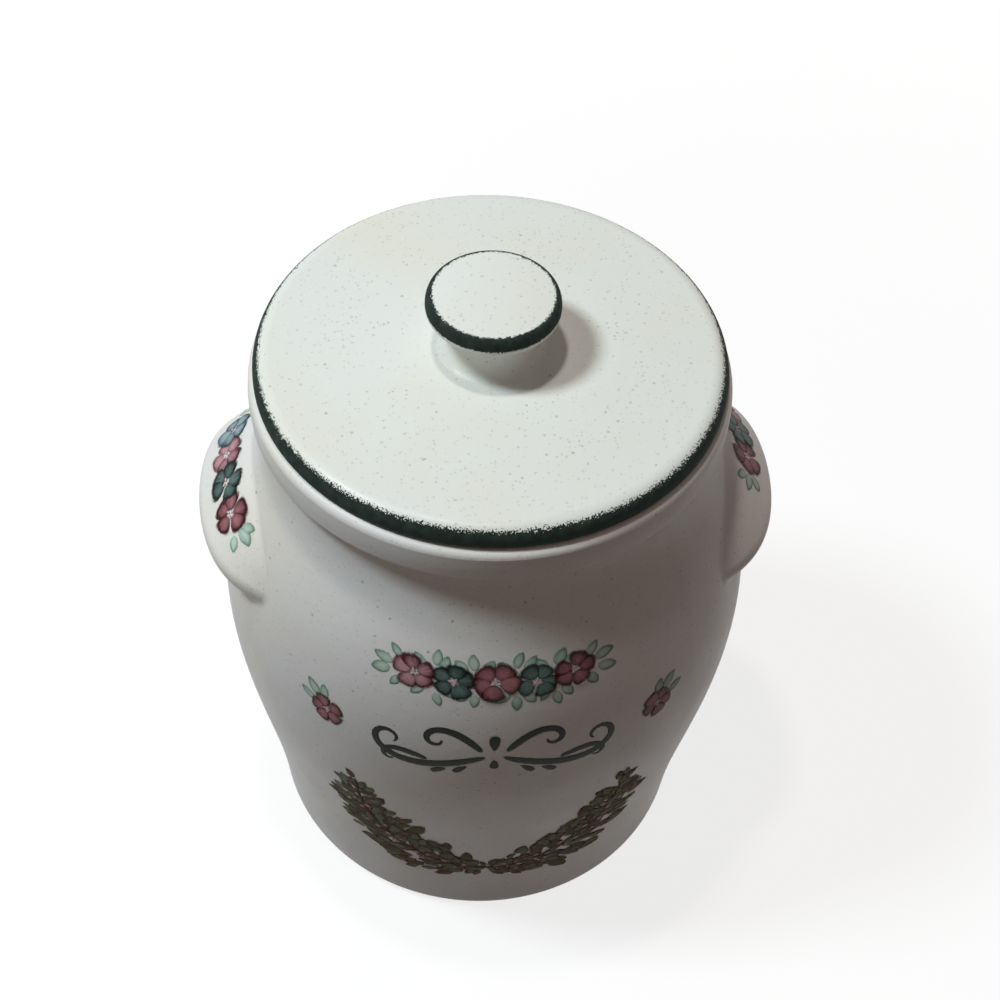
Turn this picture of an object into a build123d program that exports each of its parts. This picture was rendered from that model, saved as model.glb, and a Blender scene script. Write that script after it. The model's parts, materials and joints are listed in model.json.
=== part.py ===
"""Stoneware biscuit jar: slip-cast body, two luted-on ear handles, and a drop-in lid with its knob.

Millimetres. Z points up and the table is Z = 0. The jar's axis is the Z axis.
The front of the jar faces -Y, and the two ears stand out along -X (left) and +X (right).
"""
import math
import os

from build123d import *

# ---------------------------------------------------------------- driving dimensions: jar body
base_radius = 79.0            # body radius at the table, before the corner is rounded
base_lean = 0.06              # the wall leans out by this much per millimetre as it leaves the table
base_round = 5.5              # rounding of the glazed bottom corner
lower_height = 46.0
lower_radius = 84.3           # body radius at lower_height
belly_height = 124.0
belly_radius = 94.2           # the widest ring of the body
shoulder_height = 178.0
shoulder_radius = 83.6        # body radius at shoulder_height
neck_height = 203.0
neck_radius = 76.6            # the waist under the collar
neck_length = 6.0             # straight neck between the waist and the collar
collar_height = 14.0          # height of the rolled collar, rim included
collar_stand = 3.4            # how far the collar's crown stands out from the neck
collar_crown = 0.7            # how much the collar bulges in the middle
rim_round = 3.2               # outer rounding of the rim
lip_round = 2.4               # inner rounding of the mouth
collar_under_round = 2.6      # rounding of the collar's lower edge
neck_cove = 2.4               # cove where the collar's underside meets the neck

wall = 6.6                    # wall of the cast body
floor_thickness = 7.0
floor_cove = 14.0             # inside corner between floor and wall
foot_ring_width = 7.0         # the unglazed ring that touches the table
foot_recess = 2.2             # the glazed bottom stands this far off the table
foot_round = 1.0

# ---------------------------------------------------------------- driving dimensions: ears
ear_half_length = 47.0        # from the ear's middle to where its rim dies into the body
ear_stand = 12.1              # how far the ear's rim stands out from the body beside it
ear_squareness = 5.5          # higher keeps the rim straighter before it turns in
ear_end_sink = 2.0            # how deep the rim is pushed into the body at its ends
ear_root_drop = 12.0          # the waist to where the top face leaves the neck
ear_root_droop = 15.0         # how far the top face sinks at the ends of the ear
ear_root_slope = 0.45         # fall of the top face as it leaves the neck
ear_rim_drop = 39.5           # the waist to the ear's rounded rim, at the middle
ear_droop = 7.0               # how far the rim sinks at the ends of the ear
ear_droop_power = 2.6         # higher keeps the rim level for longer before it sinks
ear_rim_round = 5.0           # the rim's nose is rounded to this radius
ear_top_turn = 50.0           # the nose starts at this angle above level
ear_under_turn = 75.0         # and ends this far below it
ear_root_inset = 6.0          # how deep the ear's clay is carried into the neck's circle
ear_scoop_slope = 2.2         # steepness of the finger scoop where it comes back to the body
ear_under_drop = 57.0         # the waist to where the ear's underside comes back to the body
ear_blend = 5.0               # the smoothed clay fillet round the ear
ear_sections = 9              # upright sections along one ear

# ---------------------------------------------------------------- driving dimensions: lid
lid_setback = 2.0             # the lid's edge stands this far inside the collar's crown
lid_edge_height = 8.0         # rim of the jar to the shoulder of the lid's top
lid_edge_round = 5.4          # the sponge-painted rounded edge
lid_under_round = 2.0
lid_dome = 1.3                # rise of the top from its edge to the knob's land
lid_thickness = 8.0
flange_clearance = 1.6        # radial play between the locating flange and the mouth
flange_width = 6.0
flange_depth = 9.0
flange_round = 2.0
flange_cove = 3.0             # inside corner between the flange and the lid's underside

# ---------------------------------------------------------------- driving dimensions: knob
knob_height = 23.7            # lid to the crown of the knob
knob_radius = 21.9
knob_shoulder = 2.5           # the cap's side leans in by this much, going up
knob_side = 4.7               # height of the cap's sponge-painted side
knob_under_round = 1.9        # rounding of the cap's lower edge
knob_under_rise = 0.15        # slope of the cap's underside where it meets that rounding
knob_dome = 0.9               # crown of the knob's top
knob_dome_slope = 0.12        # slope of the crown at its edge
knob_neck_radius = 14.8
knob_foot_radius = 18.2
knob_foot_slope = 0.35        # slope of the foot's flare where it meets the lid
knob_neck_share = 0.5         # the waist sits at this share of the height under the cap
knob_land_margin = 2.8        # the lid stays flat this far round the knob's foot

# ---------------------------------------------------------------- worked out from the above
collar_bottom = neck_height + neck_length
rim_height = collar_bottom + collar_height
collar_radius = neck_radius + collar_stand
collar_edge_radius = collar_radius - collar_crown
mouth_radius = neck_radius - wall
floor_height = foot_recess + floor_thickness

lid_radius = collar_radius - lid_setback
lid_top_edge = rim_height + lid_edge_height
knob_land_height = lid_top_edge + lid_dome
knob_land_radius = knob_foot_radius + knob_land_margin
lid_under_height = knob_land_height - lid_thickness
flange_radius = mouth_radius - flange_clearance
flange_inner_radius = flange_radius - flange_width
flange_end_height = rim_height - flange_depth

knob_top = knob_land_height + knob_height
knob_edge_height = knob_top - knob_dome - knob_side

ear_root_height = neck_height - ear_root_drop
ear_rim_height = neck_height - ear_rim_drop
ear_under_height = neck_height - ear_under_drop


def side_curve(inset, start_height):
    """The body's curve of radius and Z, moved inwards by inset, from start_height to the waist."""
    stations = [
        (base_radius, start_height),
        (lower_radius, lower_height),
        (belly_radius, belly_height),
        (shoulder_radius, shoulder_height),
        (neck_radius, neck_height),
    ]
    moved = [(radius - inset, height) for radius, height in stations]
    return Spline(moved, tangents=[(base_lean, 1), (0, 1)])


def body_radius(height):
    """Radius of the outer curve at a height, found by halving."""
    curve = side_curve(0, 0)
    low, high = 0.0, 1.0
    for _ in range(30):
        middle = (low + high) / 2
        if (curve @ middle).Y < height:
            low = middle
        else:
            high = middle
    return (curve @ low).X


def revolved(lines):
    """Solid of revolution about Z from a closed outline of radius and Z, with its seam at the back."""
    return revolve(Plane.YZ * make_face(lines), Axis.Z)


def circles_at(solid, height, radius=None):
    """Circular edges of a turned solid at one height, and at one radius if it is given."""
    rings = solid.edges().filter_by(GeomType.CIRCLE)
    found = [ring for ring in rings if abs(ring.center().Z - height) < 0.01]
    if radius is None:
        return found
    return [ring for ring in found if abs(ring.radius - radius) < 0.05]


def body_blank():
    """The outside of the cast body as one turned solid, with no cavity."""
    outline = [
        Line((0, 0), (base_radius, 0)),
        side_curve(0, 0),
        Line((neck_radius, neck_height), (neck_radius, collar_bottom)),
        Line((neck_radius, collar_bottom), (collar_edge_radius, collar_bottom)),
        ThreePointArc(
            (collar_edge_radius, collar_bottom),
            (collar_radius, (collar_bottom + rim_height) / 2),
            (collar_edge_radius, rim_height),
        ),
        Line((collar_edge_radius, rim_height), (0, rim_height)),
        Line((0, rim_height), (0, 0)),
    ]
    blank = revolved(outline)
    blank = fillet(circles_at(blank, 0), base_round)
    blank = fillet(circles_at(blank, rim_height), rim_round)
    blank = fillet(circles_at(blank, collar_bottom, collar_edge_radius), collar_under_round)
    return fillet(circles_at(blank, collar_bottom, neck_radius), neck_cove)


def cavity():
    """The space inside the jar, open at the mouth."""
    outline = [
        Line((0, floor_height), (base_radius - wall, floor_height)),
        side_curve(wall, floor_height),
        Line((mouth_radius, neck_height), (mouth_radius, rim_height)),
        Line((mouth_radius, rim_height), (0, rim_height)),
        Line((0, rim_height), (0, floor_height)),
    ]
    return fillet(circles_at(revolved(outline), floor_height), floor_cove)


def jar_body(blank):
    """The cast body: blank, less its cavity and the recess inside the foot ring."""
    recess_radius = base_radius - base_round - foot_ring_width
    recess = Pos(0, 0, foot_recess / 2) * Cylinder(recess_radius, foot_recess)
    jar = blank - cavity() - recess
    jar = fillet(circles_at(jar, rim_height, mouth_radius), lip_round)
    return fillet(circles_at(jar, 0, recess_radius), foot_round)


def ear_section(offset, seat_radius):
    """Upright section through an ear, offset along its length: top face, nose, scoop, root.

    seat_radius is the body's radius at the rim, so the rim dies into the wall at both ends.
    The top face runs into the half-round nose without a corner, and so does the finger scoop.
    """
    share = abs(offset) / ear_half_length
    stand = max(1 - share**ear_squareness, 0)
    droop = share**ear_droop_power
    rim = math.sqrt(seat_radius**2 - offset**2) + ear_stand * stand - ear_end_sink * (1 - stand)
    rim_z = ear_rim_height - ear_droop * droop
    root = math.sqrt(neck_radius**2 - offset**2) - ear_root_inset
    root_z = ear_root_height - ear_root_droop * droop
    under_z = ear_under_height - ear_droop * droop
    centre = rim - ear_rim_round

    def on_nose(degrees):
        turn = math.radians(degrees)
        return (centre + ear_rim_round * math.cos(turn), rim_z + ear_rim_round * math.sin(turn))

    top_turn, under_turn = math.radians(ear_top_turn), math.radians(ear_under_turn)
    top = Spline(
        (root, root_z), on_nose(ear_top_turn),
        tangents=[(1, -ear_root_slope), (math.sin(top_turn), -math.cos(top_turn))],
    )
    nose = ThreePointArc(on_nose(ear_top_turn), on_nose(0), on_nose(-ear_under_turn))
    scoop = Spline(
        on_nose(-ear_under_turn), (root, under_z),
        tangents=[(-math.sin(under_turn), -math.cos(under_turn)), (-1, -ear_scoop_slope)],
    )
    back = Line((root, under_z), (root, root_z))
    return Plane((0, offset, 0), x_dir=(1, 0, 0), z_dir=(0, -1, 0)) * make_face([top, nose, scoop, back])


def right_ear(blank):
    """The ear on the +X side: a lofted lug with its smoothed clay fillet, cut to the body's curve.

    The lug is joined to the body's outside only to roll the fillet, and then the body is cut away,
    so the ear keeps the fillet and meets the body face to face.
    """
    steps = [2 * i / (ear_sections - 1) - 1 for i in range(ear_sections)]
    seat_radius = body_radius(ear_rim_height)
    lug = loft([ear_section(ear_half_length * step, seat_radius) for step in steps])
    joined = blank + lug
    joined = fillet(new_edges(blank, lug, combined=joined), ear_blend)
    return joined - blank


def quarter_round(start, end, centre, radius):
    """Quarter arc from start to end, bulging up and out from its centre."""
    middle = (centre[0] + radius * math.sqrt(0.5), centre[1] + radius * math.sqrt(0.5))
    return ThreePointArc(start, middle, end)


def lid():
    """The lid: crowned disc with a rounded edge, and a ring underneath that centres it."""
    edge_centre = (lid_radius - lid_edge_round, lid_top_edge - lid_edge_round)
    edge_low = (lid_radius, edge_centre[1])
    edge_high = (edge_centre[0], lid_top_edge)
    flange_inner = (flange_inner_radius, lid_under_height)
    outline = [
        Line((0, lid_under_height), flange_inner),
        Line(flange_inner, (flange_inner_radius, flange_end_height)),
        Line((flange_inner_radius, flange_end_height), (flange_radius, flange_end_height)),
        Line((flange_radius, flange_end_height), (flange_radius, rim_height)),
        Line((flange_radius, rim_height), (lid_radius, rim_height)),
        Line((lid_radius, rim_height), edge_low),
        quarter_round(edge_low, edge_high, edge_centre, lid_edge_round),
        Spline(edge_high, (knob_land_radius, knob_land_height), tangents=[(-1, 0), (-1, 0)]),
        Line((knob_land_radius, knob_land_height), (0, knob_land_height)),
        Line((0, knob_land_height), (0, lid_under_height)),
    ]
    disc = revolved(outline)
    disc = fillet(circles_at(disc, rim_height, lid_radius), lid_under_round)
    disc = fillet(circles_at(disc, lid_under_height, flange_inner_radius), flange_cove)
    return fillet(circles_at(disc, flange_end_height), flange_round)


def lid_knob():
    """The knob: flared foot, waist, and a crowned cap with a rounded side."""
    cap_top = (knob_radius - knob_shoulder, knob_top - knob_dome)
    cap_side = (knob_radius, knob_edge_height)
    cap_under = (knob_radius - knob_under_round, knob_edge_height - knob_under_round)
    under_mid = (
        knob_radius - knob_under_round * (1 - math.sqrt(0.5)),
        knob_edge_height - knob_under_round * math.sqrt(0.5),
    )
    foot = (knob_foot_radius, knob_land_height)
    waist = (knob_neck_radius, knob_land_height + knob_neck_share * (cap_under[1] - knob_land_height))
    outline = [
        Line((0, knob_land_height), foot),
        Spline(foot, waist, cap_under, tangents=[(-1, knob_foot_slope), (1, knob_under_rise)]),
        ThreePointArc(cap_under, under_mid, cap_side),
        Spline(cap_side, cap_top, tangents=[(0, 1), (-1, knob_dome_slope)]),
        Spline(cap_top, (0, knob_top), tangents=[(-1, knob_dome_slope), (-1, 0)]),
        Line((0, knob_top), (0, knob_land_height)),
    ]
    return revolved(outline)


def main():
    """Build every piece and write one STEP file for each."""
    blank = body_blank()
    ear = right_ear(blank)
    pieces = {
        "jar_body": jar_body(blank),
        "right_ear": ear,
        "left_ear": Rot(0, 0, 180) * ear,
        "lid": lid(),
        "lid_knob": lid_knob(),
    }
    os.makedirs("parts", exist_ok=True)
    for name, piece in pieces.items():
        piece.label = name
        export_step(piece, f"parts/{name}.step")
        print(f"{name}: {piece.volume / 1000:.1f} cm3, {len(piece.solids())} solid")


main()
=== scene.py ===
# %% [markdown]
# # A stoneware biscuit jar with a sponged lid and brushed flowers
#
# The jar is cast stoneware under a satin, speckled white glaze. Its shape is already right in the
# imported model, so this lesson does not rebuild the clay: it glazes it, sponges a green band round
# the lid and the knob, lays brush strokes of colour on the curved walls, and lights it. First the
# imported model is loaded, because every later step measures itself against it.

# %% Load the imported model
import json
import math

import bpy
import numpy as np
from mathutils import Matrix, Vector

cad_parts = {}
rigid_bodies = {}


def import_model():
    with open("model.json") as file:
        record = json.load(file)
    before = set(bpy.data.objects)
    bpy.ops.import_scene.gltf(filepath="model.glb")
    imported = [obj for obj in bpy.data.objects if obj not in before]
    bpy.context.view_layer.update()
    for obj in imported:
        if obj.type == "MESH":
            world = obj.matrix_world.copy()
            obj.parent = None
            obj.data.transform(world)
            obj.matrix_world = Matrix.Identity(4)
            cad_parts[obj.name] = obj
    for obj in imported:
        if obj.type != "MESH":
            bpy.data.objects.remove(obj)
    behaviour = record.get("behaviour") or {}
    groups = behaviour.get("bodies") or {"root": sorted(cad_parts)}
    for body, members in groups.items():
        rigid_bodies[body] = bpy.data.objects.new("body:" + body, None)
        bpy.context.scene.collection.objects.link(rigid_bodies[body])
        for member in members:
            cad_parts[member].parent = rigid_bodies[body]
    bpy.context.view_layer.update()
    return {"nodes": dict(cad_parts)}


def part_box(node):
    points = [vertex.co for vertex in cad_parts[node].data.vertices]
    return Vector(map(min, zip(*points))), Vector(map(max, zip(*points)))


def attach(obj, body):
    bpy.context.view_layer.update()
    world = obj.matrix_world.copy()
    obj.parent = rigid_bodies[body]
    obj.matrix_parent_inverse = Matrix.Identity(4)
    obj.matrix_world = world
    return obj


for leftover in list(bpy.data.objects):
    bpy.data.objects.remove(leftover)
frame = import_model()
nodes = frame["nodes"]
MM = 0.001
print("clay pieces:", sorted(nodes))

# %% [markdown]
# ## The camera
#
# The jar is seen from above, a little to the left of its painted front. A camera is only a place
# and three directions, so the directions are worked out from a turn, a pitch and a roll, and put
# into the camera's matrix as its columns.

# %% Camera
camera_turn = math.radians(6.0)
camera_reach = 434.4 * MM
camera_height = 674.1 * MM
camera_pitch = math.radians(50.14)
camera_yaw = math.radians(0.656)
camera_roll = math.radians(2.68)
camera_lens = 68.4


def aim_camera():
    """Add the camera: it looks along a heading and down by the pitch, then rolls about that line."""
    heading = camera_turn + camera_yaw
    forward = Vector((math.sin(heading) * math.cos(camera_pitch),
                      math.cos(heading) * math.cos(camera_pitch),
                      -math.sin(camera_pitch)))
    level = Vector((math.cos(heading), -math.sin(heading), 0))
    upward = level.cross(forward)
    right = math.cos(camera_roll) * level + math.sin(camera_roll) * upward
    up = math.cos(camera_roll) * upward - math.sin(camera_roll) * level
    place = Vector((-camera_reach * math.sin(camera_turn), -camera_reach * math.cos(camera_turn),
                    camera_height))
    camera = bpy.data.objects.new("camera", bpy.data.cameras.new("camera"))
    camera.matrix_world = Matrix((right, up, -forward)).transposed().to_4x4()
    camera.location = place
    camera.data.lens = camera_lens
    camera.data.clip_start = 0.01
    bpy.context.scene.collection.objects.link(camera)
    bpy.context.scene.camera = camera
    return camera


camera = aim_camera()
bpy.context.scene.view_settings.view_transform = "Standard"
print("camera stands at", [round(value, 3) for value in camera.location])

# %% [markdown]
# ## Small helpers for shader nodes
#
# Every finish below is a graph of nodes. These helpers keep a graph readable: one line makes one
# node, and an input takes either a plain value or the socket of another node.

# %% Node helpers


def display(red, green, blue):
    """A colour as a screen shows it, 0 to 255, turned into the linear values that a shader uses."""
    share = np.array([red, green, blue]) / 255
    linear = np.where(share <= 0.04045, share / 12.92, ((share + 0.055) / 1.055) ** 2.4)
    return (*(float(value) for value in linear), 1.0)


def feed(tree, socket, value):
    """Link the socket to another node's output, or give it a plain value."""
    if isinstance(value, bpy.types.NodeSocket):
        tree.links.new(value, socket)
    else:
        socket.default_value = value


def add(tree, kind, inputs=None, **settings):
    """Add one node, change its settings, and feed its inputs by name or number."""
    node = tree.nodes.new(kind)
    for name, value in settings.items():
        setattr(node, name, value)
    for name, value in (inputs or {}).items():
        feed(tree, node.inputs[name], value)
    return node


def calc(tree, operation, first, second=0.0, third=0.0, clamp=False):
    """The output of one Math node."""
    node = add(tree, "ShaderNodeMath", {0: first, 1: second, 2: third}, operation=operation)
    node.use_clamp = clamp
    return node.outputs[0]


def ramp_between(tree, value, low, high, at_low=0.0, at_high=1.0):
    """A smooth step: at_low where value is low or less, at_high where it is high or more."""
    node = add(tree, "ShaderNodeMapRange", {0: value, 1: low, 2: high, 3: at_low, 4: at_high})
    node.interpolation_type = "SMOOTHSTEP"
    return node.outputs[0]


def mix(tree, share, first, second, blend="MIX"):
    """The output of one colour Mix node."""
    node = add(tree, "ShaderNodeMix", {0: share, 6: first, 7: second}, data_type="RGBA")
    node.blend_type = blend
    return node.outputs[2]


def noise(tree, place, scale, detail=2.0, roughness=0.5):
    """A Noise Texture's value, about 0.5 on average."""
    node = add(tree, "ShaderNodeTexNoise",
               {"Vector": place, "Scale": scale, "Detail": detail, "Roughness": roughness})
    return node.outputs["Fac"]


def object_place(tree):
    """Object coordinates, in metres, of the piece that wears the material."""
    return add(tree, "ShaderNodeTexCoord").outputs["Object"]


def new_group(name, inputs, outputs):
    """A shader node group. Inputs give a name, a kind and a default, outputs a name and a kind."""
    group = bpy.data.node_groups.new(name, "ShaderNodeTree")
    for label, kind, default in inputs:
        socket = group.interface.new_socket(name=label, in_out="INPUT", socket_type=kind)
        socket.default_value = default
    for label, kind in outputs:
        group.interface.new_socket(name=label, in_out="OUTPUT", socket_type=kind)
    return group, group.nodes.new("NodeGroupInput").outputs, group.nodes.new("NodeGroupOutput").inputs


def place_group(tree, group, inputs=None):
    """Put a group into a tree, feed its inputs, and return its outputs."""
    node = tree.nodes.new("ShaderNodeGroup")
    node.node_tree = group
    for name, value in (inputs or {}).items():
        feed(tree, node.inputs[name], value)
    return node.outputs


FLOAT, COLOUR = "NodeSocketFloat", "NodeSocketColor"

# %% [markdown]
# ## The white speckled glaze
#
# A speckled glaze has specks of iron that melt out of the clay. They are small, round and
# scattered, most of them faint and a few of them dark. A Voronoi texture gives one random point in
# each cell: the distance to it draws a dot, and the cell's own random colour decides whether that
# cell has a speck at all, how large it is and how strong. Two sizes of cell give two kinds of
# speck. The glaze is a node group, so that every piece of the jar can wear it with its own tint.

# %% Speckled glaze group
# The size of a cell, the share of the cells that have a speck, and a speck's usual radius.
fine_specks = 1.5 * MM, 0.6, 0.5 * MM
dark_specks = 4.2 * MM, 0.5, 0.62 * MM
speck_fray = 1.1 * MM


def speck_dots(tree, place, cell, share, radius):
    """Dots in some cells of a Voronoi texture: 1 in the middle of a dot and 0 outside it.

    A dot reaches 0.4 to 1.4 times the radius, and is 0.3 to 1 strong, by its cell's random colour."""
    cells = add(tree, "ShaderNodeTexVoronoi", {"Vector": place, "Scale": 1 / cell, "Randomness": 1.0})
    split = add(tree, "ShaderNodeSeparateColor", {0: cells.outputs["Color"]}).outputs
    chosen = calc(tree, "LESS_THAN", split[0], share)
    reach = calc(tree, "MULTIPLY_ADD", split[1], radius / cell, 0.4 * radius / cell)
    core = calc(tree, "MULTIPLY", reach, 0.35)
    dot = ramp_between(tree, cells.outputs["Distance"], core, reach, 1, 0)
    strength = calc(tree, "MULTIPLY_ADD", split[2], 0.7, 0.3)
    return calc(tree, "MULTIPLY", calc(tree, "MULTIPLY", dot, chosen), strength)


def speckled_glaze():
    """Group: a white glaze with a cloudy tint, fine faint specks and a few dark ones."""
    group, given, out = new_group(
        "speckled_glaze",
        [("Glaze", COLOUR, (1, 1, 1, 1)), ("Specks", FLOAT, 1.0), ("Satin", FLOAT, 0.34)],
        [("Color", COLOUR), ("Height", FLOAT), ("Roughness", FLOAT)],
    )
    place = object_place(group)
    cloud = ramp_between(group, noise(group, place, 17.0, 3.0), 0.42, 0.7)
    warm = mix(group, 1.0, given["Glaze"], display(255, 252, 244), "MULTIPLY")
    color = mix(group, cloud, given["Glaze"], warm)
    wobble = add(group, "ShaderNodeTexNoise", {"Vector": place, "Scale": 1300.0}).outputs["Color"]
    frayed = add(group, "ShaderNodeVectorMath", {0: wobble, 1: (speck_fray,) * 3, 2: place},
                 operation="MULTIPLY_ADD").outputs[0]
    fine = speck_dots(group, frayed, *fine_specks)
    dark = speck_dots(group, frayed, *dark_specks)
    kinds = (fine, 0.45, display(140, 142, 132)), (dark, 0.9, display(88, 90, 82))
    for dots, depth, tone in kinds:
        share = calc(group, "MULTIPLY", dots, depth)
        share = calc(group, "MULTIPLY", share, given["Specks"], clamp=True)
        color = mix(group, share, color, tone)
    feed(group, out["Color"], color)
    ripple = calc(group, "MULTIPLY", noise(group, place, 210.0, 2.0), 0.08 * MM)
    grain = calc(group, "MULTIPLY", noise(group, place, 1600.0, 2.0), 0.012 * MM)
    pits = calc(group, "MULTIPLY", calc(group, "ADD", fine, dark), -0.03 * MM)
    feed(group, out["Height"], calc(group, "ADD", calc(group, "ADD", ripple, grain), pits))
    rough = calc(group, "MULTIPLY_ADD", noise(group, place, 60.0, 3.0), 0.16, given["Satin"])
    feed(group, out["Roughness"], rough)
    return group


glaze_group = speckled_glaze()
print(f"{glaze_group.name}: {len(glaze_group.nodes)} nodes")

# %% [markdown]
# ## Bare clay and the sponged band
#
# Clay that stands on the kiln shelf, or rests on another piece, stays without glaze: buff, matt and
# grainy. The green band is dabbed on with a damp sponge. Its lower edge follows the clay's edge, a
# little loosely on the knob, and its upper edge breaks into teeth, and into crumbs half a
# millimetre across, over a fringe of about two millimetres. Noise added to the distance from the
# edge does that: where the sum passes the band's width, the green ends.

# %% Bare clay and sponged band groups
teeth_per_metre, crumbs_per_metre = 420.0, 1900.0


def bare_clay():
    """Group: unglazed stoneware, buff with darker grains."""
    group, _, out = new_group("bare_clay", [], [("Color", COLOUR), ("Height", FLOAT)])
    place = object_place(group)
    grains = noise(group, place, 900.0, 3.0, 0.7)
    tone = mix(group, noise(group, place, 70.0, 3.0), display(196, 184, 163), display(176, 160, 137))
    dark = ramp_between(group, grains, 0.58, 0.72, 0.0, 0.5)
    feed(group, out["Color"], mix(group, dark, tone, display(122, 104, 84)))
    feed(group, out["Height"], calc(group, "MULTIPLY", grains, 0.06 * MM))
    return group


def sponged_band():
    """Group: where a sponged band lies, and its own colour.

    It starts where the height above its lower edge is 0, and ends where the way past that edge,
    upwards and inwards, reaches its width. Teeth and Foot teeth say how ragged the two ends are."""
    group, given, out = new_group(
        "sponged_band",
        [("Above", FLOAT, 0.0), ("Past", FLOAT, 0.0), ("Width", FLOAT, 6.0 * MM),
         ("Teeth", FLOAT, 1.0 * MM), ("Foot teeth", FLOAT, 1.0 * MM)],
        [("Mask", FLOAT), ("Color", COLOUR)],
    )
    place = object_place(group)
    coarse = calc(group, "SUBTRACT", noise(group, place, teeth_per_metre, 2.0), 0.5)
    crumbs = calc(group, "SUBTRACT", noise(group, place, crumbs_per_metre, 2.0, 0.6), 0.5)
    ragged = calc(group, "MULTIPLY_ADD", crumbs, 9.0, calc(group, "MULTIPLY", coarse, 1.5))
    level = calc(group, "MULTIPLY_ADD", ragged, given["Teeth"], given["Past"])
    inside = ramp_between(group, calc(group, "SUBTRACT", given["Width"], level), -0.2 * MM, 0.2 * MM)
    begun = calc(group, "MULTIPLY_ADD", crumbs, given["Foot teeth"], given["Above"])
    begun = ramp_between(group, begun, -0.1 * MM, 0.15 * MM)
    feed(group, out["Mask"], calc(group, "MULTIPLY", inside, begun))
    blotch = ramp_between(group, noise(group, place, 260.0, 3.0, 0.6), 0.38, 0.72)
    feed(group, out["Color"], mix(group, blotch, display(27, 35, 31), display(43, 56, 50)))
    return group


clay_group = bare_clay()
band_group = sponged_band()
print(f"{clay_group.name} and {band_group.name} are ready")

# %% [markdown]
# ## Glaze materials for the clay pieces
#
# Every clay piece wears the same glaze, with its own band and bare places, and the lid and its knob
# are a little whiter and glossier than the jar. One function builds all the materials: the glaze
# first, the sponged band over it, and bare clay where nothing is glazed. The places come from the
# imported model's own boxes, so each band stays on its edge.

# %% Glaze materials
jar_white, lid_white = display(228, 228, 227), display(226, 229, 225)
lid_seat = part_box("jar_body")[1].z
knob_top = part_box("lid_knob")[1].z
lid_reach, knob_reach = (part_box(name)[1].x for name in ("lid", "lid_knob"))
seat_inside = lid_reach - 12 * MM
# The radius and height of a band's lower edge, its width, and the teeth of its upper and lower edge.
lid_band = lid_reach, lid_seat - 0.1 * MM, 9.0 * MM, 0.95 * MM, 0.9 * MM
knob_band = knob_reach, knob_top - 5.1 * MM, 6.5 * MM, 0.4 * MM, 2.4 * MM
band_roughness, clay_roughness = 0.8, 0.85


def axis_distance(tree, place):
    """Distance of the place from the jar's upright axis."""
    flat = add(tree, "ShaderNodeVectorMath", {0: place, 1: (1, 1, 0)}, operation="MULTIPLY").outputs[0]
    return add(tree, "ShaderNodeVectorMath", {0: flat}, operation="LENGTH").outputs["Value"]


def height_of(tree, place):
    """Height of the place, in metres."""
    return add(tree, "ShaderNodeSeparateXYZ", {0: place}).outputs[2]


def new_material(name, shine):
    """A material, its tree and its Principled shader. Shine 0.5 reflects like glass, less is duller."""
    material = bpy.data.materials.new(name)
    material.use_nodes = True
    shader = material.node_tree.nodes["Principled BSDF"]
    shader.inputs["IOR"].default_value = 1.5
    shader.inputs["Specular IOR Level"].default_value = shine
    return material, material.node_tree, shader


def mix_number(tree, share, first, second):
    """The output of one number Mix node."""
    return add(tree, "ShaderNodeMix", {0: share, 2: first, 3: second}, data_type="FLOAT").outputs[0]


def glazed(name, band=None, bare=None, glaze=jar_white, specks=0.65, shine=0.3, satin=0.34):
    """A glaze material, with a sponged band and with a function that draws a mask of bare clay."""
    material, tree, shader = new_material(name, shine)
    place = object_place(tree)
    coat = place_group(tree, glaze_group, {"Glaze": glaze, "Specks": specks, "Satin": satin})
    color, height, rough = coat["Color"], coat["Height"], coat["Roughness"]
    if band is not None:
        radius, foot, width, teeth, foot_teeth = band
        above = calc(tree, "SUBTRACT", height_of(tree, place), foot)
        inwards = calc(tree, "SUBTRACT", radius, axis_distance(tree, place))
        sponge = place_group(tree, band_group, {
            "Above": above, "Past": calc(tree, "ADD", above, inwards), "Width": width,
            "Teeth": teeth, "Foot teeth": foot_teeth})
        color = mix(tree, sponge["Mask"], color, sponge["Color"])
        rough = mix_number(tree, sponge["Mask"], rough, band_roughness)
    if bare is not None:
        clay = place_group(tree, clay_group)
        mask = bare(tree, place)
        color = mix(tree, mask, color, clay["Color"])
        rough = mix_number(tree, mask, rough, clay_roughness)
        height = mix_number(tree, mask, height, clay["Height"])
    feed(tree, shader.inputs["Base Color"], color)
    feed(tree, shader.inputs["Roughness"], rough)
    bump = add(tree, "ShaderNodeBump", {"Height": height, "Distance": 1.0, "Strength": 1.0})
    feed(tree, shader.inputs["Normal"], bump.outputs[0])
    return material


def foot_is_bare(tree, place):
    """The ring that stands on the table has no glaze."""
    return ramp_between(tree, height_of(tree, place), 0.4 * MM, 0.9 * MM, 1, 0)


def seat_is_bare(tree, place):
    """The underside of the lid's edge, outside its ring, rests on the jar and has no glaze."""
    height = height_of(tree, place)
    below = ramp_between(tree, height, lid_seat + 0.1 * MM, lid_seat + 0.3 * MM, 1, 0)
    above = ramp_between(tree, height, lid_seat - 1.2 * MM, lid_seat - 0.6 * MM)
    outside = ramp_between(tree, axis_distance(tree, place), seat_inside, seat_inside + 1 * MM)
    return calc(tree, "MULTIPLY", calc(tree, "MULTIPLY", below, above), outside)


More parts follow.
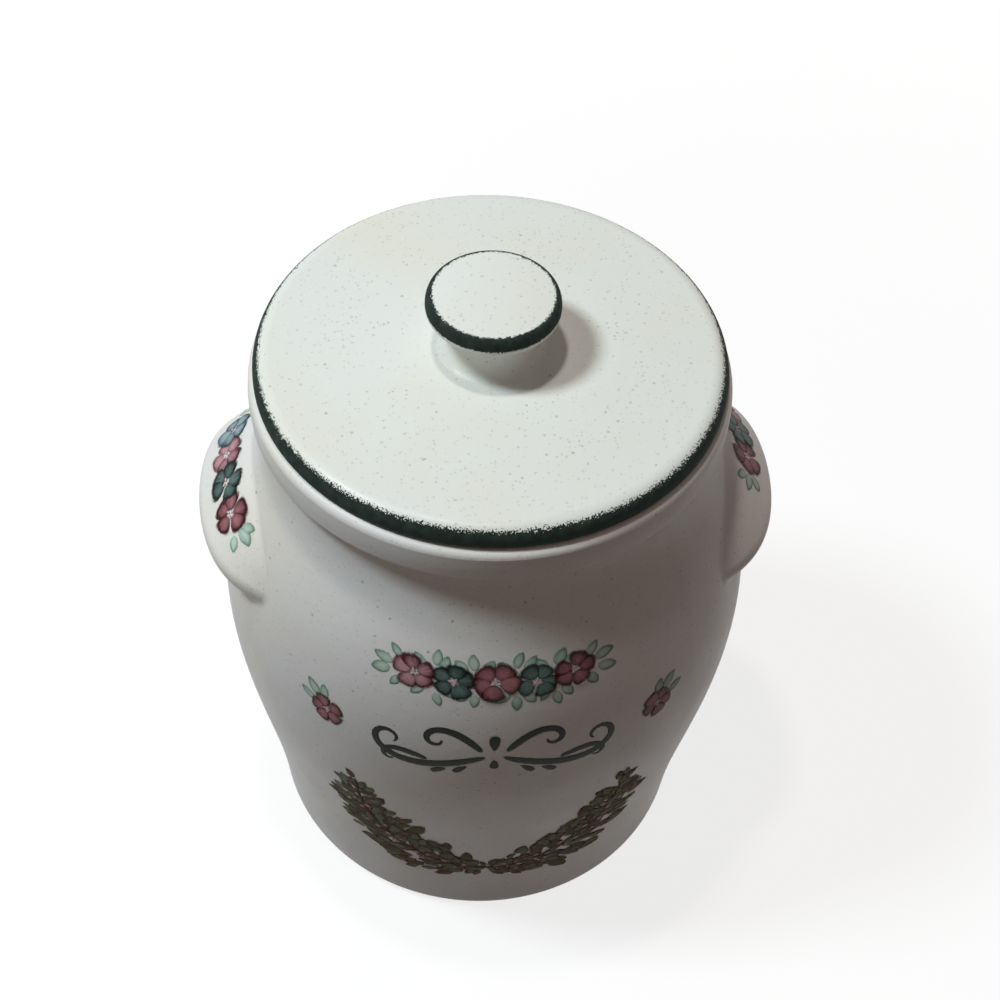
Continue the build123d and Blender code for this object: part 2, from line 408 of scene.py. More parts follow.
lid_finish = {"glaze": lid_white, "specks": 0.9, "shine": 0.18, "satin": 0.24}
finishes = {
    "jar_body": glazed("glaze_jar", bare=foot_is_bare),
    "left_ear": glazed("glaze_left_ear"),
    "right_ear": glazed("glaze_right_ear"),
    "lid": glazed("glaze_lid", lid_band, seat_is_bare, **lid_finish),
    "lid_knob": glazed("glaze_knob", knob_band, **lid_finish),
}
for name, finish in finishes.items():
    nodes[name].data.materials.clear()
    nodes[name].data.materials.append(finish)
print("glazed:", ", ".join(finishes))

# %% [markdown]
# ## The wall, measured for the brush
#
# To place brush strokes on the curved wall, it is measured once, as if it were paper: *across* runs
# along the level ring from the front line, and *up* runs up the wall from its foot. The radius at
# each height is read from the packed clay, so that every stroke lies on it. Strokes are thin bodies
# of paint of their own, because a pattern drawn only in the glaze's shader would need a mask for
# every petal.

# %% Measure the wall
wall_foot, wall_top = 12 * MM, 203 * MM
half_chord = 4 * MM


def outside_of_wall():
    """Radius and height up the outside of the wall, and the distance walked up it.

    Points on the front that face outwards are gathered by height, each height has one mean radius,
    and the distance adds up the straight lines from one height to the next."""
    mesh = nodes["jar_body"].data
    place, facing = np.empty((2, len(mesh.vertices), 3))
    mesh.vertices.foreach_get("co", place.ravel())
    mesh.vertex_normals.foreach_get("vector", facing.ravel())
    radius = np.hypot(place[:, 0], place[:, 1])
    outwards = (place[:, :2] * facing[:, :2]).sum(1) > 0.4 * radius
    front = place[:, 1] < -0.6 * radius
    tall = (place[:, 2] > wall_foot) & (place[:, 2] < wall_top)
    chosen = outwards & front & tall
    height, member = np.unique(np.round(place[chosen, 2], 4), return_inverse=True)
    radius = np.bincount(member, radius[chosen]) / np.bincount(member)
    steps = np.hypot(np.diff(radius), np.diff(height))
    return radius, height, np.concatenate([[0], np.cumsum(steps)])


wall_radius, wall_height, wall_up = outside_of_wall()


def up_at(height):
    """Distance up the wall to a height above the table."""
    return float(np.interp(height, wall_height, wall_up))


def wall_at(up):
    """The wall's radius and height at distances up it."""
    return np.stack([np.interp(up, wall_up, wall_radius), np.interp(up, wall_up, wall_height)])


def on_body(flat):
    """Places on the body, and the directions that face out of it, for pairs of across and up.

    The turn round the axis is across divided by the radius at that distance up. The outward
    direction is square to a chord of the wall, from half a chord below to half a chord above."""
    across, up = flat[..., 0], flat[..., 1]
    radius, height = wall_at(up)
    lean, rise = wall_at(up + half_chord) - wall_at(up - half_chord)
    turn, chord = across / radius, np.hypot(lean, rise)
    right, ahead = np.sin(turn), -np.cos(turn)
    place = np.stack([radius * right, radius * ahead, height], -1)
    facing = np.stack([rise / chord * right, rise / chord * ahead, -lean / chord], -1)
    return place, facing


print(f"wall: {wall_up[-1] / MM:.0f} mm up, {wall_radius.max() / MM:.1f} mm radius at the belly")

# %% [markdown]
# The ears are hand-shaped lugs with no formula here. Points are set on a slanting ring above the
# ear's upper face, and a Shrinkwrap modifier lets them all fall onto the clay at once. The outward
# direction comes from four more falls, a small step to each side and a small step up and down.

# %% Measure the ears
ear_ring_radius, ear_ring_height = 90.0 * MM, 174.5 * MM
ear_step = 0.8 * MM
slant = math.sqrt(0.5)


def fall_onto(node, places):
    """The nearest point of a clay piece to each place, by a Shrinkwrap modifier."""
    mesh = bpy.data.meshes.new("falling")
    mesh.vertices.add(len(places))
    mesh.vertices.foreach_set("co", places.ravel())
    falling = bpy.data.objects.new("falling", mesh)
    bpy.context.scene.collection.objects.link(falling)
    wrap = falling.modifiers.new("wrap", "SHRINKWRAP")
    wrap.target = nodes[node]
    wrap.wrap_method = "NEAREST_SURFACEPOINT"
    evaluated = falling.evaluated_get(bpy.context.evaluated_depsgraph_get())
    landed = np.empty_like(places)
    evaluated.data.vertices.foreach_get("co", landed.ravel())
    bpy.data.objects.remove(falling)
    bpy.data.meshes.remove(mesh)
    return landed


def on_ear(node, side):
    """A function like on_body for one ear: across runs along the ear, up runs inwards and up it."""
    def fall(across, up):
        turn, out = across / ear_ring_radius, ear_ring_radius - up * slant
        ring = np.stack([side * out * np.cos(turn), side * out * np.sin(turn),
                         ear_ring_height + up * slant], -1)
        return fall_onto(node, ring.reshape(-1, 3)).reshape(ring.shape)

    def surface(flat):
        across, up = flat[..., 0], flat[..., 1]
        place = fall(across, up)
        sideways = fall(across + ear_step, up) - fall(across - ear_step, up)
        upwards = fall(across, up + ear_step) - fall(across, up - ear_step)
        facing = np.cross(sideways, upwards)
        return place, facing / np.linalg.norm(facing, axis=-1, keepdims=True)

    return surface


on_left_ear, on_right_ear = on_ear("left_ear", -1), on_ear("right_ear", 1)
ear_middle = on_left_ear(np.zeros((1, 2)))[0][0]
print(f"ears: the middle of the painted face is {ear_middle[2] / MM:.1f} mm up")

# %% [markdown]
# ## A brush stroke
#
# A loaded brush leaves a flat body of colour with a rounded edge, thinner at its ends. Each stroke
# is a closed lens: a row of flat ovals along its middle line, between two points. Its underside is
# sunk into the clay, so nothing shows beneath it. Numbers stored on its points say how far along
# and how near the edge each one is, for the paint's shader to read.

# %% Lay strokes on a surface
around = 12
paint_thickness, paint_sink = 0.10 * MM, 0.06 * MM
few_stations, many_stations = 13, 41


def spaced(stations):
    """Bends from 0 to pi, and shares of the way that lie closer together at both ends.

    A share is one less the bend's cosine, halved."""
    bend = np.linspace(0, math.pi, stations)
    return bend, (1 - np.cos(bend)) / 2


def stroke_faces(count, stations):
    """Corner numbers of every stroke's faces: quads between ovals, triangles at the two ends."""
    rings, column = np.arange(stations - 2), np.arange(around)
    corner = rings[:, None] * around + column
    beside = rings[:, None] * around + (column + 1) % around
    quads = np.stack([corner[:-1], corner[1:], beside[1:], beside[:-1]], -1).reshape(-1, 4)
    last = len(rings) * around
    first_end = np.stack([np.full(around, last), corner[0], beside[0]], -1)
    other_end = np.stack([corner[-1], np.full(around, last + 1), beside[-1]], -1)
    start = (np.arange(count) * (last + 2))[:, None, None]
    quads, ends = start + quads, start + np.concatenate([first_end, other_end])
    return quads.reshape(-1, 4), ends.reshape(-1, 3)


def stroke_points(surface, strokes):
    """Points of every stroke, and how far along, to the side and near the edge each of them is.

    Round an oval the side is the cosine of its angle, times half the width. The top is the paint's
    thickness times the square root of the angle's sine, above the lift; the underside drops the
    same way from the lift into the clay, and both are thinner where the stroke is narrow. Nearness
    to the edge is 1 at the side and at both ends: one less its square is one less the square of
    the nearness to the side, times the same for the ends."""
    middle, half, lift = strokes["middle"], strokes["half"], strokes["lift"][:, None, None]
    share = spaced(middle.shape[1])[1]
    angle = 2 * math.pi * np.arange(around) / around
    side, full = np.cos(angle), np.sqrt(np.abs(np.sin(angle)))
    way = np.gradient(middle, axis=1)
    way /= np.linalg.norm(way, axis=-1, keepdims=True)
    right = np.stack([way[..., 1], -way[..., 0]], -1)
    flat = middle[:, 1:-1, None] + right[:, 1:-1, None] * (half[:, 1:-1, None] * side)[..., None]
    swell = (half / half.max(1, keepdims=True))[:, 1:-1, None] ** 0.4
    height = lift + np.where(np.sin(angle) > 0, paint_thickness, -lift - paint_sink) * full * swell
    flat = np.concatenate([flat.reshape(len(flat), -1, 2), middle[:, [0, -1]]], 1)
    height = np.concatenate([height.reshape(len(flat), -1), np.repeat(lift[:, 0], 2, 1)], 1)
    place, facing = surface(flat)
    along = np.append(np.repeat(share[1:-1], around), [0, 1])
    aside = np.append(np.tile(side, len(share) - 2), [0, 0])
    ends = np.abs(2 * along - 1) ** strokes["blunt"][:, None]
    rim = np.sqrt(1 - (1 - aside**2) * (1 - ends**2))
    return place + facing * height[..., None], along, aside, rim


def lay_strokes(name, surface, strokes, material, body="jar"):
    """Make one piece of all the strokes, lay it on the surface and let it ride on a body."""
    points, along, aside, rim = stroke_points(surface, strokes)
    count, each = points.shape[:2]
    quads, ends = stroke_faces(count, strokes["middle"].shape[1])
    mesh = bpy.data.meshes.new(name)
    mesh.from_pydata(points.reshape(-1, 3), [], quads.tolist() + ends.tolist())
    mesh.shade_smooth()
    spread = {"along": np.tile(along, count), "side": np.tile(aside, count), "rim": rim,
              "load": np.repeat(strokes["load"], each)}
    for label, values in spread.items():
        attribute = mesh.attributes.new(label, "FLOAT", "POINT")
        attribute.data.foreach_set("value", np.ascontiguousarray(values, dtype=np.float32).ravel())
    for label in ("dark", "light"):
        values = np.repeat(strokes[label], each, 0).astype(np.float32)
        attribute = mesh.attributes.new(label, "FLOAT_COLOR", "POINT")
        attribute.data.foreach_set("color", values.ravel())
    mesh.materials.append(material)
    piece = bpy.data.objects.new(name, mesh)
    bpy.context.scene.collection.objects.link(piece)
    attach(piece, body)
    print(f"{name}: {count} strokes, {len(mesh.polygons)} faces")
    return piece


# %% [markdown]
# ## Dabs: petals, leaves and berries
#
# Almost everything the brush does here is a dab: pressed down, drawn a short way and lifted. A
# petal is fuller towards its tip and starts narrow. A leaf is pointed at both ends. One function
# makes any number of dabs at once, and small seeded differences keep them hand-made. All strokes of
# one piece go into one mesh: hundreds of little objects would be slow.

# %% Dabs
chance = np.random.default_rng(11)


def paint(middle, half, colours, load, lift=0.0, blunt=1.0):
    """One batch of strokes, with a dark and a light colour, how loaded the brush was, and a lift."""
    count = len(half)
    dark, light = colours
    return {
        "middle": middle, "half": half,
        "lift": np.broadcast_to(lift, count).astype(float),
        "load": np.broadcast_to(load, count).astype(float),
        "blunt": np.full(count, float(blunt)),
        "dark": np.tile(dark, (count, 1)), "light": np.tile(light, (count, 1)),
    }


def together(batches):
    """Several batches as one."""
    return {label: np.concatenate([batch[label] for batch in batches]) for label in batches[0]}


def pointing(way):
    """Steps of length one along each heading."""
    return np.stack([np.cos(way), np.sin(way)], -1)


def dabs(root, way, length, width, colours, load, lift=0.0, fuller=0.0, pointed=1.0, curve=0.0,
         stations=few_stations):
    """Dabs that start at their roots and run along their ways, all given as arrays.

    The middle line runs straight from the root, with a sideways bow of curve times the length.
    Half the width is the sine of the bend to the power pointed, times one less fuller times its
    cosine, so a positive fuller moves the widest part towards the tip."""
    bend, share = spaced(stations)
    ahead = pointing(way)[:, None]
    left = np.stack([-np.sin(way), np.cos(way)], -1)[:, None]
    bow = (np.ones_like(length) * curve * length)[:, None] * np.sin(bend) ** 2
    middle = root[:, None] + ahead * (length[:, None] * share)[..., None] + left * bow[..., None]
    outline = np.maximum(np.sin(bend), 0) ** pointed * (1 - fuller * np.cos(bend))
    return paint(middle, width[:, None] / 2 * outline / outline.max(), colours, load, lift)


# %% [markdown]
# The palette is small: burgundy, plum, teal and a slate blue for petals, a pale mint for leaves and
# a dusty pink for the eyes. Each colour is a pair, dark where the paint pools and light where the
# brush drags it thin. A blossom is five petals, each laid over the last, with a pale eye on top.

# %% Palette, blossoms and leaves
burgundy = display(58, 16, 24), display(172, 118, 123)
plum = display(76, 28, 40), display(194, 150, 156)
teal = display(13, 26, 24), display(100, 124, 119)
slate = display(34, 58, 66), display(146, 172, 178)
mint = display(108, 143, 127), display(192, 214, 202)
pink = display(186, 152, 160), display(220, 200, 204)


def blossom(centre, size, colours, lift):
    """Five petals round a pale eye, laid one over the next, and the eye on top."""
    turned = chance.uniform(0, 2 * math.pi)
    way = turned + 2 * math.pi * np.arange(5) / 5 + chance.normal(0, 0.11, 5)
    order = chance.permutation(5) * 0.035 * MM
    petals = dabs(centre + 0.06 * size * pointing(way), way, size * chance.uniform(0.39, 0.47, 5),
                  size * chance.uniform(0.45, 0.53, 5), colours, chance.uniform(0.0, 1.0, 5),
                  lift + order, fuller=0.4, pointed=0.66, curve=chance.normal(0, 0.03, 5))
    eye_way = turned + 0.6 + 2 * math.pi * np.arange(3) / 3
    eye = dabs(centre + 0.015 * size * pointing(eye_way), eye_way, np.full(3, 0.11 * size),
               np.full(3, 0.065 * size), pink, chance.uniform(0.1, 0.6, 3), lift + 0.2 * MM)
    return together([petals, eye])


def leaves(root, way, length, lift=0.0, colours=mint, slim=0.6, load=(0.05, 0.7)):
    """Pointed leaves, each as slim as it is told, from arrays of roots, ways and lengths."""
    count = len(way)
    return dabs(root, way, length, length * slim * chance.uniform(0.85, 1.15, count), colours,
                chance.uniform(*load, count), lift + 0.02 * MM * chance.permutation(count) / count,
                fuller=-0.15, pointed=1.5, curve=chance.normal(0, 0.06, count))


# %% [markdown]
# ## Brushed paint
#
# Under a glaze, colour runs a little: it pools dark at the rim of a stroke and at its tip, and
# drags into pale streaks near its root. The shader mixes each stroke's two colours by that. The
# streaks are noise stretched along the stroke, so they follow every petal. The very edge of the
# paint thins out. For the small leaves of the swag it does so further in, and pools less, so that
# they look smudged, as if printed.

# %% Brushed paint group and material


def brushed_paint():
    """Group: how deep the colour is, how much of it there is, and its small relief."""
    group, given, out = new_group(
        "brushed_paint",
        [("Dark", COLOUR, (0, 0, 0, 1)), ("Light", COLOUR, (1, 1, 1, 1)), ("Along", FLOAT, 0.5),
         ("Side", FLOAT, 0.0), ("Rim", FLOAT, 0.0), ("Load", FLOAT, 0.5), ("Feather", FLOAT, 0.1),
         ("Pool", FLOAT, 1.0)],
        [("Color", COLOUR), ("Alpha", FLOAT), ("Height", FLOAT)],
    )
    stretched = add(group, "ShaderNodeCombineXYZ", {
        0: calc(group, "MULTIPLY", given["Side"], 2.6), 1: calc(group, "MULTIPLY", given["Along"], 0.8),
        2: calc(group, "MULTIPLY", given["Load"], 43.0)}).outputs[0]
    streak = calc(group, "SUBTRACT", noise(group, stretched, 1.7, 3.0, 0.6), 0.5)
    blotch = calc(group, "SUBTRACT", noise(group, object_place(group), 700.0, 2.0), 0.5)
    pooled = ramp_between(group, given["Rim"], 0.3, 1.0)
    pooled = calc(group, "MULTIPLY", pooled, calc(group, "MULTIPLY_ADD", given["Along"], 0.5, 0.6))
    bare_root = ramp_between(group, given["Along"], 0.05, 0.65, 0.4, 0.0)
    deep = calc(group, "MULTIPLY", pooled, given["Pool"])
    deep = calc(group, "MULTIPLY_ADD", given["Load"], 0.55, deep)
    deep = calc(group, "ADD", streak, deep)
    deep = calc(group, "MULTIPLY_ADD", blotch, 0.35, deep)
    deep = calc(group, "SUBTRACT", deep, bare_root, clamp=True)
    feed(group, out["Color"], mix(group, deep, given["Light"], given["Dark"]))
    thin = calc(group, "SUBTRACT", 1.0, given["Feather"])
    frayed_rim = calc(group, "MULTIPLY_ADD", streak, given["Feather"], given["Rim"])
    feed(group, out["Alpha"], ramp_between(group, frayed_rim, thin, 1.0, 1, 0))
    feed(group, out["Height"], calc(group, "MULTIPLY", streak, 0.02 * MM))
    return group


paint_group = brushed_paint()


def stored(tree, name, output="Fac"):
    """A number, or with output Color a colour, stored on the stroke's points."""
    return add(tree, "ShaderNodeAttribute", attribute_name=name).outputs[output]


def painted(name, feather, pool, matt):
    """A paint material. Its edge thins out over the feather, and it pools dark by the pool."""
    material, tree, shader = new_material(name, 0.1)
    brush = place_group(tree, paint_group, {
        "Dark": stored(tree, "dark", "Color"), "Light": stored(tree, "light", "Color"),
        "Along": stored(tree, "along"), "Side": stored(tree, "side"), "Rim": stored(tree, "rim"),
        "Load": stored(tree, "load"), "Feather": feather, "Pool": pool})
    feed(tree, shader.inputs["Base Color"], brush["Color"])
    feed(tree, shader.inputs["Alpha"], brush["Alpha"])
    rough = calc(tree, "MULTIPLY_ADD", noise(tree, object_place(tree), 60.0, 3.0), 0.16, matt)
    feed(tree, shader.inputs["Roughness"], rough)
    bump = add(tree, "ShaderNodeBump", {"Height": brush["Height"], "Distance": 1.0, "Strength": 1.0})
    feed(tree, shader.inputs["Normal"], bump.outputs[0])
    return material


flower_paint = painted("flower_paint", 0.26, 1.05, 0.4)
smudged_paint = painted("smudged_paint", 0.35, 0.35, 0.7)
print("paints:", flower_paint.name, "and", smudged_paint.name)

# %% [markdown]
# ## The garland on the shoulder
#
# Five blossoms sit shoulder to shoulder in a shallow arc, red and teal by turns. Pale leaves look
# out from the gaps between them, and a spray of leaves ends the row on each side. The leaves are
# laid first and the blossoms over them. The sizes and places are listed in millimetres. The painted
# front is a little to the left of the jar's own.

# %% Garland
front_line = -3.78 * MM
garland_up = up_at(166.5 * MM)
garland_sizes = np.array([15.4, 15.8, 17.2, 15.8, 15.2]) * MM
garland_across = np.array([-26.6, -13.8, 0.0, 13.6, 26.2]) * MM
garland_rise = np.array([1.2, -0.3, 0.4, -0.6, 1.6]) * MM
garland_colours = plum, teal, burgundy, teal, burgundy
garland_lifts = np.array([0.16, 0.06, 0.2, 0.06, 0.16]) * MM


def garland():
    """All strokes of the garland, about its own middle on the shoulder."""
    middle = np.array([front_line, garland_up])
    gaps = np.repeat((garland_across[:-1] + garland_across[1:]) / 2, 3)
    apart, rise = np.tile([-2.4, 0.2, 2.5], 4), np.tile([4.0, 5.2, 3.9], 4)
    fan = np.tile([0.62, -0.05, -0.66], 4)
    scatter = chance.normal(0, 0.4 * MM, (2, 12, 2))
    green = []
    for upside, strewn, lengths in ((1, scatter[0], (6.0, 7.4)), (-1, scatter[1], (5.8, 7.2))):
        root = np.stack([gaps + apart * MM, upside * rise * MM], -1) + strewn
        heading = upside * (math.pi / 2 + fan) + chance.normal(0, 0.2, 12)
        green.append(leaves(middle + root, heading, chance.uniform(*lengths, 12) * MM))
    spray = np.array([-0.95, -0.3, 0.3, 0.95])
    for side, start in ((1, 31.8), (-1, -32.2)):
        root = middle + np.array([start, 1.2]) * MM + np.stack(
            [side * np.array([-0.6, 2.4, 1.2, -1.8]), [-3.0, -0.8, 1.6, 3.8]], -1) * MM
        heading = spray if side == 1 else math.pi - spray
        green.append(leaves(root, heading, np.array([6.4, 7.8, 7.6, 6.6]) * MM))
    places = middle + np.stack([garland_across, garland_rise], -1)
    choices = zip(places, garland_sizes, garland_colours, garland_lifts)
    return together(green + [blossom(*choice) for choice in choices])


lay_strokes("garland", on_body, garland(), flower_paint)

# %% [markdown]
# ## The two side sprigs
#
# Lower down, a small blossom with three leaves looks up at the garland from each side. One function
# paints both, and mirrors the fan of leaves but not the chance in their strokes.

# %% Side sprigs
sprig_places = ("left_sprig", -1, -39.0, 134.5 * MM), ("right_sprig", 1, 34.5, 135.0 * MM)


def sprig(middle, side):
    """A blossom with three leaves that fan up and away from the front line."""
    fan = np.array([0.35, 0.95, 1.5])
    heading = fan if side == 1 else math.pi - fan
    root = middle + 5.0 * MM * pointing(heading)
    green = leaves(root, heading, np.array([7.2, 8.4, 6.8]) * MM)
    return together([green, blossom(middle, 13.8 * MM, burgundy, 0.06 * MM)])


for name, side, turn, height in sprig_places:
    up = up_at(height)
    across = math.radians(turn) * wall_at(up)[0]
    lay_strokes(name, on_body, sprig(np.array([across, up]), side), flower_paint)

# %% [markdown]
# ## The flourish in the middle
#
# Three pairs of scrolls mirror about the middle, with commas under them and two drops between them,
# in dark green from a well loaded brush. A scroll bends more and more along its way until it curls
# up: its heading is the sum of its bends, and its line is the sum of its headings. That needs no
# list of points, only the bends at its root and tip, and its length.

# %% Flourish
flourish_green = display(10, 14, 9), display(36, 44, 35)
flourish_load = 0.9
scroll_steps = 600


def scroll(root, heading, length, first_bend, last_bend, width, side, sooner):
    """A stroke that bends more and more, from one number of radians per millimetre to another.

    The bend grows with the power sooner of the way gone. The heading adds up the bends, and the line
    adds up steps in each heading. The widest part is near the root; side -1 mirrors the scroll."""
    fine = np.linspace(0, 1, scroll_steps)
    bends = first_bend + (last_bend - first_bend) * fine**sooner
    turned = heading + np.cumsum(bends) * length / MM / scroll_steps
    line = np.cumsum(pointing(turned), 0) * length / scroll_steps
    bend, share = spaced(many_stations)
    even = np.stack([np.interp(share, fine, line[:, 0]), np.interp(share, fine, line[:, 1])], -1)
    middle = np.array(root) + even * np.array([side, 1])
    outline = np.maximum(np.sin(bend), 0) ** 0.75 * (1 + 0.35 * np.cos(bend))
    half = width / 2 * outline / outline.max()
    return paint(middle[None], half[None], flourish_green, flourish_load, blunt=6.0)


def flourish_side(middle, side):
    """Three scrolls to one side of the middle, and two commas under them."""
    def at(across, rise):
        return middle + np.array([side * across, rise]) * MM

    root, lean = np.stack([at(9.0, -7.6), at(16.0, -9.8)]), np.array([-0.7, -0.5])
    commas = dabs(root, lean if side == 1 else math.pi - lean, np.full(2, 6.6 * MM),
                  np.full(2, 3.0 * MM), flourish_green, flourish_load, fuller=0.4,
                  stations=many_stations)
    return [
        scroll(at(2.5, -2.0), -0.42, 60 * MM, 0.008, 0.42, 4.0 * MM, side, 3.2),
        scroll(at(4.0, 0.5), 0.95, 34 * MM, -0.02, -0.52, 3.5 * MM, side, 2.2),
        scroll(at(22.5, -6.2), 0.32, 24 * MM, -0.01, -0.62, 3.0 * MM, side, 2.4),
        commas,
    ]


def flourish(middle):
    """Both sides of the flourish, and a pair of drops between them."""
    root = middle + np.array([[0.0, 1.0], [0.0, -3.5]]) * MM
    drops = dabs(root, np.array([0.5, -0.5]) * math.pi, np.array([8.5, 5.5]) * MM,
                 np.array([4.2, 3.4]) * MM, flourish_green, flourish_load, fuller=0.45,
                 stations=many_stations)
    return together(flourish_side(middle, -1) + flourish_side(middle, 1) + [drops])


flourish_middle = np.array([front_line, up_at(134.0 * MM)])
lay_strokes("flourish", on_body, flourish(flourish_middle), flower_paint)

# %% [markdown]
# ## The leafy swag below
#
# A brown vine hangs in a deep curve, low on the wall. Small grey-green and brown leaves crowd along
# it on both sides, smudged as if printed, and thickest half way up each arm. Plum berries hang in
# threes between them. The leaves come in three layers: large dark ones, then browner ones, then the
# vine, and the palest on top.

# %% Swag
swag_reach, swag_low, swag_high = 50 * MM, 38 * MM, 96 * MM
sage = display(94, 104, 88), display(156, 167, 148)
olive = display(92, 82, 67), display(144, 130, 110)
shade = display(76, 70, 58), display(122, 112, 94)
vine_brown = display(76, 60, 49), display(116, 95, 79)


def vine(at):
    """Points of the vine for at from -1 to 1: across by a sine, up by a power of the distance out."""
    low, high = up_at(swag_low), up_at(swag_high)
    across = front_line + swag_reach * np.sin(at * math.pi / 2 * 0.96)
    up = low + (high - low) * np.abs(at) ** 1.9
    return np.stack([across, up], -1)


def swag_leaves(count, colours, reach, length, lift):
    """Leaves crowded along the vine, within a reach to its left or right, and turned away from it."""
    at = np.linspace(-0.97, 0.97, count) + chance.normal(0, 0.02, count)
    ahead = vine(at + 0.01) - vine(at - 0.01)
    heading = np.arctan2(ahead[:, 1], ahead[:, 0]) + np.where(at < 0, math.pi, 0)
    turn = np.where(np.arange(count) % 2 == 0, 1, -1)
    bushy = 0.15 + 0.85 * np.abs(np.sin(math.pi * np.abs(at) ** 0.9)) ** 0.8
    aside = turn * chance.uniform(-0.15, 1.0, count) * reach * bushy
    root = vine(at) + np.stack([-np.sin(heading), np.cos(heading)], -1) * aside[:, None]
    way = heading + turn * chance.uniform(0.1, 1.3, count)
    size = length * chance.uniform(0.75, 1.2, count) * (0.6 + 0.4 * bushy)
    lift = lift + 0.12 * MM * np.arange(count) / count
    return leaves(root, way, size, lift, colours, slim=0.55, load=(0.1, 0.9))


def vine_strokes():
    """The vine in sixteen short strokes that overlap at their ends."""
    ends = np.linspace(-1, 1, 17)
    bend, share = spaced(few_stations)
    pieces = []
    for first, last in zip(ends[:-1], ends[1:]):
        middle = vine(first + (last - first) * (1.15 * share - 0.075))
        half = 0.9 * MM * np.sqrt(np.maximum(np.sin(bend), 0))
        pieces.append(paint(middle[None], half[None], vine_brown, 0.5, 0.2 * MM, blunt=6.0))
    return together(pieces)


def berries(at, lift):
    """Three round dabs at each place along the vine."""
    spot = np.repeat(vine(np.array(at)), 3, 0)
    way = np.tile([0.4, 2.5, 4.6], len(at)) + chance.normal(0, 0.25, 3 * len(at))
    apart = chance.uniform(0.5, 3.5, len(way)) * MM
    root = spot + pointing(way) * apart[:, None]
    size = chance.uniform(2.4, 3.4, len(way)) * MM
    return dabs(root, way, size, size, plum, chance.uniform(0.5, 1.0, len(way)), lift)


leafage = together([
    swag_leaves(130, shade, 12.5 * MM, 11.0 * MM, 0.0),
    swag_leaves(120, olive, 13.5 * MM, 8.4 * MM, 0.05 * MM),
    vine_strokes(),
    swag_leaves(130, sage, 14.0 * MM, 7.4 * MM, 0.12 * MM),
])
lay_strokes("swag_leafage", on_body, leafage, smudged_paint)
berry_places = [-0.82, -0.64, -0.5, -0.33, -0.16, 0.14, 0.3, 0.44, 0.6, 0.78]
lay_strokes("swag_berries", on_body, berries(berry_places, 0.3 * MM), flower_paint)

# %% [markdown]
# ## The rows on the ears
#
# Each ear has a short row of blossoms along its upper face, with leaves at both ends. Painted by
# hand, the rows differ: the right ear's starts further back and has three blossoms, where the left
# one's has four. One function paints both. The ears face opposite ways, so it is told which way
# along them is forward.

# %% Ear rows
ear_blossom = 16.8 * MM
ear_colours, ear_rise = (burgundy, teal, plum, slate), (-0.6, 0.5, 0.2, 0.8)
ear_lift = (0.05, 0.14, 0.05, 0.14)


def ear_row(front, last_leaf, places):
    """Blossoms at given distances towards the front, leaves before and after them, all in mm."""
    flowers = [
        blossom(np.array([front * along, rise]) * MM, ear_blossom, colours, lift * MM)
        for along, rise, colours, lift in zip(places, ear_rise, ear_colours, ear_lift)
    ]
    ahead = 0.0 if front == 1 else math.pi
    fan = np.array([-0.7, 0.0, 0.65])
    root = np.array([[front * (places[0] + 7.4), rise] for rise in (-3.0, -0.8, 1.4)]) * MM
    front_leaves = leaves(root, ahead + front * fan, np.array([6.4, 8.2, 6.6]) * MM)
    back = np.array([[front * (last_leaf + 4), rise] for rise in (-1.0, 1.6)]) * MM
    back_leaves = leaves(back, ahead + math.pi + np.array([0.4, -0.4]), np.array([6.0, 6.6]) * MM)
    return together([front_leaves, back_leaves] + flowers)


left_row = ear_row(1, -32.0, (18.5, 5.5, -7.0, -19.0))
lay_strokes("left_ear_row", on_left_ear, left_row, flower_paint)
right_row = ear_row(-1, -27.0, (2.5, -9.5, -21.0))
lay_strokes("right_ear_row", on_right_ear, right_row, flower_paint)

# %% [markdown]
# ## The floor, the backdrop and the light
#
# The background is white, but it must not throw white light at the jar. The floor is therefore
# white only for the rays that see it, by Light Path, and dark for light that bounces. Near the jar
# part of its white is reflected light, to catch the shadow. Further out it glows by itself, as
# white as the backdrop, so no horizon shows in a low view.

# %% Floor and backdrop
floor_reach = 6.0
floor_seen, floor_bounce = (0.26, 0.26, 0.26, 1), (0.08, 0.068, 0.056, 1)
glow_from, glow_to, glow_near = 200 * MM, 1200 * MM, 0.8
dim_colour, dim_strength = (1.0, 0.735, 0.625, 1), 0.126
white_light = (1, 1, 1, 1)


def seen_or_mirrored(tree):
    """1 for rays that come from the camera, a mirror or glass, and 0 for bounced light."""
    path = add(tree, "ShaderNodeLightPath").outputs
    either = calc(tree, "MAXIMUM", path["Is Camera Ray"], path["Is Glossy Ray"])
    return calc(tree, "MAXIMUM", either, path["Is Transmission Ray"])


def floor_material():
    """A matt floor, white to the camera and dark to bounced light."""
    material = bpy.data.materials.new("floor_white")
    material.use_nodes = True
    tree = material.node_tree
    tree.nodes.clear()
    seen = seen_or_mirrored(tree)
    tone = mix(tree, seen, floor_bounce, floor_seen)
    matt = add(tree, "ShaderNodeBsdfDiffuse", {"Color": tone})
    away = axis_distance(tree, object_place(tree))
    strength = ramp_between(tree, away, glow_from, glow_to, glow_near, 1.0)
    strength = calc(tree, "MULTIPLY", seen, strength)
    glow = add(tree, "ShaderNodeEmission", {"Color": white_light, "Strength": strength})
    both = add(tree, "ShaderNodeAddShader", {0: matt.outputs[0], 1: glow.outputs[0]})
    add(tree, "ShaderNodeOutputMaterial", {"Surface": both.outputs[0]})
    return material


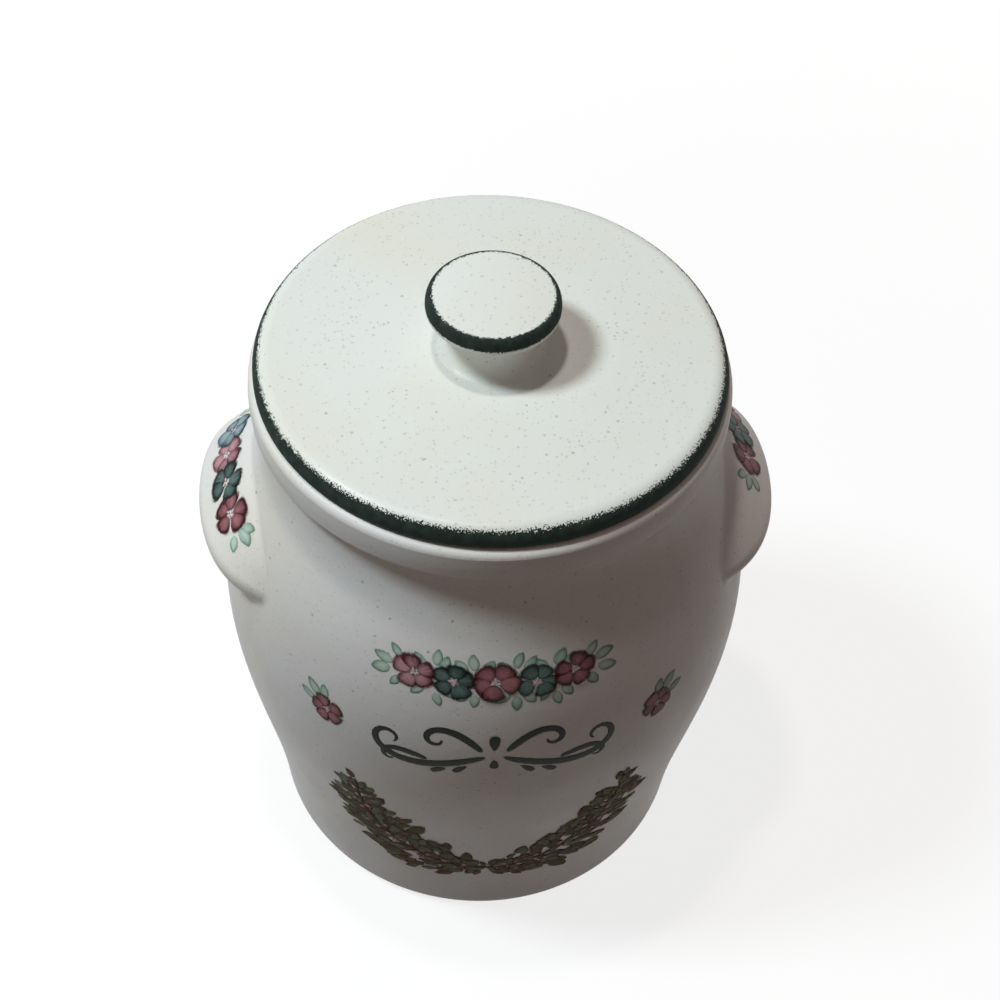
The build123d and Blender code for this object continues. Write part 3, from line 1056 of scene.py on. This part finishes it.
def make_floor():
    """One large flat square at table height."""
    mesh = bpy.data.meshes.new("floor")
    around_middle = (-1, -1), (1, -1), (1, 1), (-1, 1)
    corners = [(floor_reach * right, floor_reach * back, 0) for right, back in around_middle]
    mesh.from_pydata(corners, [], [(0, 1, 2, 3)])
    mesh.materials.append(floor_material())
    floor = bpy.data.objects.new("floor", mesh)
    bpy.context.scene.collection.objects.link(floor)


def make_world():
    """A white backdrop to the camera, and a dim even light from all round for everything else."""
    world = bpy.data.worlds.new("studio")
    bpy.context.scene.world = world
    world.use_nodes = True
    tree = world.node_tree
    tree.nodes.clear()
    seen = seen_or_mirrored(tree)
    dim = add(tree, "ShaderNodeBackground", {"Color": dim_colour, "Strength": dim_strength})
    white = add(tree, "ShaderNodeBackground", {"Color": white_light, "Strength": 1.0})
    both = add(tree, "ShaderNodeMixShader", {0: seen, 1: dim.outputs[0], 2: white.outputs[0]})
    add(tree, "ShaderNodeOutputWorld", {"Surface": both.outputs[0]})


make_floor()
make_world()
print(f"floor: {2 * floor_reach:.0f} m across")

# %% [markdown]
# ## Lamps
#
# One small warm lamp hangs almost straight above, a little to the left and behind, so the knob's
# shadow falls on the lid just right of its neck. A larger, cooler one stands off to the left and
# lights the left ear and shoulder, as a window would.

# %% Lamps
lamp_distance = 1.5
lit_middle = Vector((0, 0, 130 * MM))


def lamp(name, direction, size, power, colour):
    """A round area lamp that stands off from the jar's middle and points at it."""
    light = bpy.data.lights.new(name, "AREA")
    light.shape, light.size, light.energy, light.color = "DISK", size, power, colour
    hung = bpy.data.objects.new(name, light)
    away = Vector(direction).normalized()
    hung.location = away * lamp_distance + lit_middle
    hung.rotation_mode = "QUATERNION"
    hung.rotation_quaternion = away.to_track_quat("Z", "Y")
    bpy.context.scene.collection.objects.link(hung)
    return hung


lamp("overhead", (-0.115, 0.042, 0.993), 0.12, 5.4, (1.0, 0.95, 0.88))
lamp("left_window", (-0.5, 0.0, 0.866), 0.3, 14.4, (0.843, 0.954, 1.0))
print("lamps: overhead and left_window")
